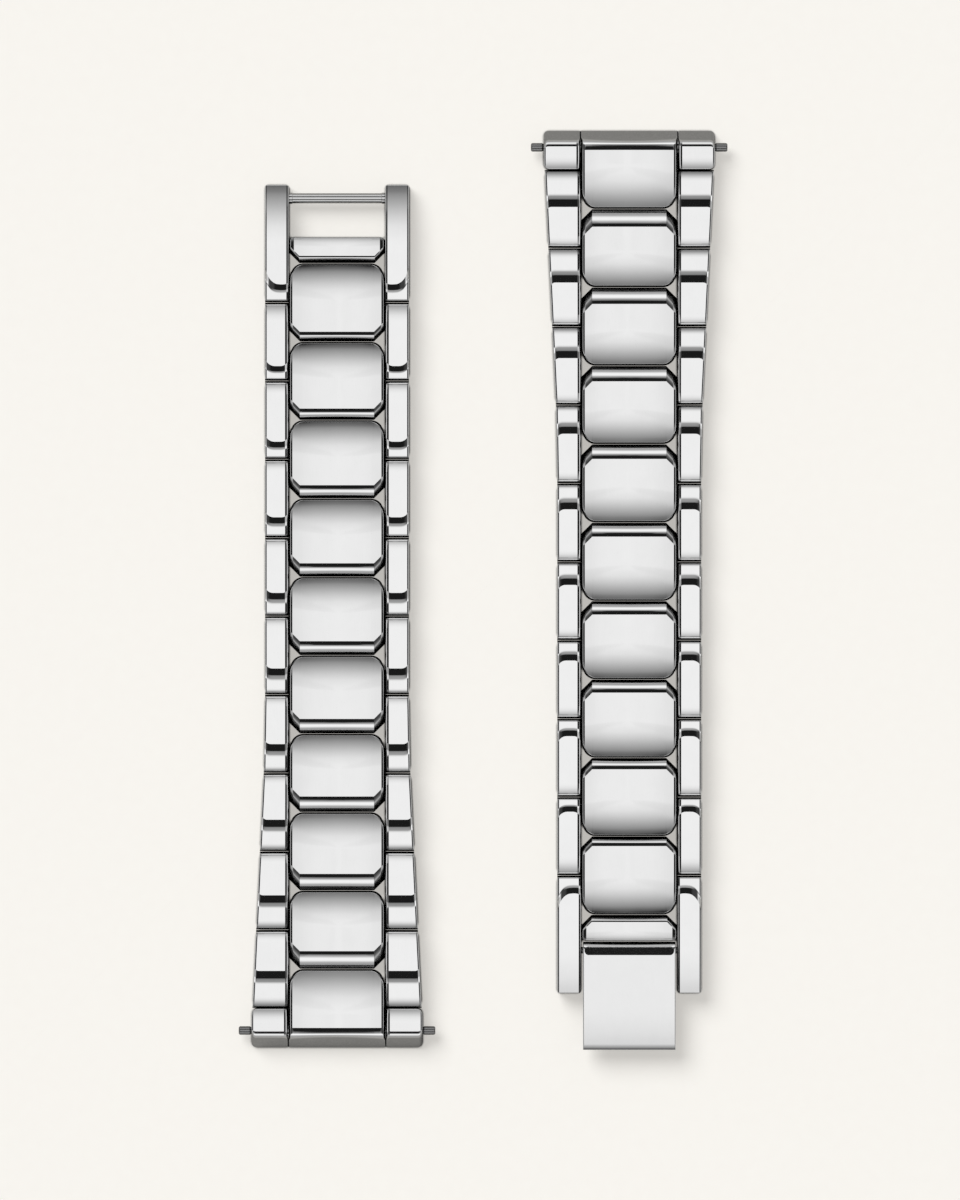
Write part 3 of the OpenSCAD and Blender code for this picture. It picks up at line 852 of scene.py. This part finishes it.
def both_ways(half):
    """An outline for turned that is the same to both sides, from its half with the end first."""
    return [(-x, r) for x, r in half] + half[::-1]


def rod(r, bevel):
    """Outline of a pin that ends just inside the outer faces of the legs."""
    return both_ways([(ROD_X, 0), (ROD_X, r - bevel), (ROD_X - bevel, r)])


bridge_places = CENTRE_PLACES[:12]
bridge_places += [CENTRE_EDGE - d for d in reversed(facet_places(*BRIDGE_FACET))]
bridge_places += CENTRE_PLACES[-2:]
bridge = bridge_views("bridge_master", [bridge_view(x) for x in bridge_places], open_start=True)
modify(bridge, "MIRROR", merge_threshold=0.001)
bore(bridge, LEG_START + BRIDGE_PIN - BRIDGE_START, PIN_Z, PRESSED_R, 6)
polish(bridge)
bridge_steel = steel("polished_bridge_steel", 0.84, 0.78, 0.05, 0.1, faces=(0.3, 0.93))
bridge.data.materials.append(bridge_steel)
for strand, tail, tail_r, cross_y, cross_z, cross_r in (
        ("left", 5.7, 22, CLASP_BAR_Y, PIN_Z, 0.49),
        ("right", 4.5, 37, LEAF_PIN_Y, KNUCKLE_Z, 0.32)):
    body = f"{strand}_clasp_frame"
    legs = bridge_views("leg_master", [
        leg_view(x, tail, tail_r) for x in plate_places(PLATE_X, BAND_X, LEG_FACET)])
    modify(legs, "MIRROR")
    for y in (END_R, BRIDGE_PIN):
        bore(legs, y, PIN_Z, PRESSED_R, 12)
    bore(legs, cross_y, cross_z, cross_r, 12)
    polish(legs)
    legs.data.materials.append(side_steel)
    lay(legs, strand, LEG_START, f"{strand}_leg_pair", body, "side_steel", f"{strand}_frame_legs")
    bpy.data.objects.remove(legs)
    lay(bridge, strand, BRIDGE_START, f"{strand}_bridge_body", body, "centre_steel",
        f"{strand}_frame_bridge")
    for y, word in ((END_R, "joint"), (BRIDGE_PIN, "bridge")):
        pin = turned("pin_master", rod(PIN_R, 0.08), y, PIN_Z)
        pin.data.materials.append(pin_steel)
        lay(pin, strand, LEG_START, f"{strand}_{word}_pin", body, "pin_steel",
            f"{strand}_frame_pins")
        bpy.data.objects.remove(pin)
bpy.data.objects.remove(bridge)


# Clasp bar, across the left frame.
# A turned steel bar with a collar at each end, pressed into the legs, for the hook to catch.

HALF_BAR = [(ROD_X, 0), (ROD_X, 0.4), (6.48, 0.47), (4.5, 0.47), (4.5, 0.49), (4.47, 0.52),
            (4.18, 0.52), (4.15, 0.49), (4.15, 0.47)]
bar = turned("bar_master", both_ways(HALF_BAR), CLASP_BAR_Y, PIN_Z)
bar_steel = steel("turned_bar_steel", 0.7, 0.6, 0.08, 0.14, painted_wall_level=0.6, grain=(7000, 500, 500))
bar.data.materials.append(bar_steel)
lay(bar, "left", LEG_START, "clasp_bar_turned", "left_clasp_frame", "pin_steel", "clasp_bar")
bpy.data.objects.remove(bar)


# Clasp leaf, hinged in the right frame.
# A polished steel plate with a round knuckle at its hinge, a groove with round ends milled above
# the knuckle, and a long slope to its free end. It turns on a thin pin through the legs.

LEAF_AXIS = LEG_START + LEAF_PIN_Y
LEAF_HALF = 4.3
LEAF_END = 9.25
LEAF_TOP, LEAF_LOW = 2.75, 1.85
LEAF_FACET = (0.03, 0.06)
LEAF_SLOPE, LEAF_R, LIP_R = 4.2, 35, 3.07
LEAF_TILT, LIP_TILT = 6, 15.5
GROOVE_X = 3.77


def leaf_view(x):
    """Side view of the leaf at x, from where the knuckle meets the underside: round the knuckle,
    along the top, down the long slope and a steeper one, and round the lip at the free end."""
    d = LEAF_HALF - x
    top = LEAF_TOP - facet(d, *LEAF_FACET)
    low = LEAF_LOW + rounding(d, UNDER_R)
    r = top - KNUCKLE_Z
    under = asin((KNUCKLE_Z - low) / r)
    bend = LEAF_END - LEAF_SLOPE
    moves = [(0, KNUCKLE_Z, 270 - under, 26), (bend, top), (bend, top - LEAF_R, LEAF_TILT, 8)]
    y, z = bend + LEAF_R * sin(LEAF_TILT), top - LEAF_R + LEAF_R * cos(LEAF_TILT)
    moves += [(y - LIP_R * sin(LEAF_TILT), z - LIP_R * cos(LEAF_TILT), LIP_TILT - LEAF_TILT, 5)]
    y += LIP_R * (sin(LIP_TILT) - sin(LEAF_TILT))
    z += LIP_R * (cos(LIP_TILT) - cos(LEAF_TILT))
    lip = (LEAF_END - y) / (1 - sin(LIP_TILT))
    moves += [(y - lip * sin(LIP_TILT), z - lip * cos(LIP_TILT), 90 - LIP_TILT, 5)]
    return x, (r * cos(under), low), moves + [(LEAF_END, low + 0.08), (LEAF_END - 0.08, low)]


leaf_places = [0, 1, 2, 3, 3.6, 3.9, 4.1]
leaf_places += [LEAF_HALF - d for d in reversed(facet_places(*LEAF_FACET))]
leaf = bridge_views("leaf_master", [leaf_view(x) for x in leaf_places], open_start=True)
modify(leaf, "MIRROR", merge_threshold=0.001)
bore(leaf, 0, KNUCKLE_Z, 0.35, 6)
bpy.ops.object.select_all(action="DESELECT")
bpy.ops.mesh.primitive_cylinder_add(vertices=32, radius=0.4, depth=1,
                                    location=(-GROOVE_X, -0.1, 3.095),
                                    rotation=(math.radians(18), 0, 0))
groove = bpy.context.object
bpy.ops.object.mode_set(mode="EDIT")
pick(lambda p: p.x > 0.001)
bpy.ops.transform.translate(value=(2 * GROOVE_X, 0, 0))
bpy.ops.object.mode_set(mode="OBJECT")
modify(leaf, "BOOLEAN", operation="DIFFERENCE", solver="EXACT", object=groove)
bpy.data.objects.remove(groove)
polish(leaf)
leaf.data.materials.append(steel("polished_leaf_steel", 0.83, 0.77, 0.06, 0.12))
lay(leaf, "right", LEAF_AXIS, "clasp_leaf_plate", "clasp_leaf", "leaf_steel", "clasp_leaf")
bpy.data.objects.remove(leaf)
pin = turned("leaf_pin_master", rod(0.3, 0.05), 0, KNUCKLE_Z, 32)
pin.data.materials.append(pin_steel)
lay(pin, "right", LEAF_AXIS, "clasp_leaf_pin_drawn", "right_clasp_frame", "pin_steel",
    "clasp_leaf_pin")
bpy.data.objects.remove(pin)


# Clasp hook, welded under the leaf.
# A strip of spring steel, bent down and back under so that it takes hold of the clasp bar.

HOOK_Y = 82.0
HOOK_HALF = 2
HOOK_R, BEND_R = 0.97, 0.52
HOOK_TIP = HOOK_Y - 0.25
hook = bridge_views("hook_master", [(x, (HOOK_Y + BEND_R, LEAF_LOW), [
    (HOOK_Y + HOOK_R, LEAF_LOW), (HOOK_Y + HOOK_R, PIN_Z), (HOOK_Y, PIN_Z, 90, 16),
    (HOOK_TIP, PIN_Z - HOOK_R), (HOOK_TIP, PIN_Z - BEND_R), (HOOK_Y, PIN_Z - BEND_R),
    (HOOK_Y, PIN_Z, -90, 16)]) for x in (-HOOK_HALF, HOOK_HALF)])
modify(hook, "BEVEL", width=0.07, segments=3, limit_method="ANGLE", angle_limit=math.radians(50))
polish(hook, 30)
hook.data.materials.append(steel("brushed_hook_steel", 0.66, 0.56, 0.2, 0.34, painted_wall_level=0.9))
lay(hook, "right", 0, "clasp_hook_bent", "clasp_leaf", "side_steel", "clasp_hook")
bpy.data.objects.remove(hook)
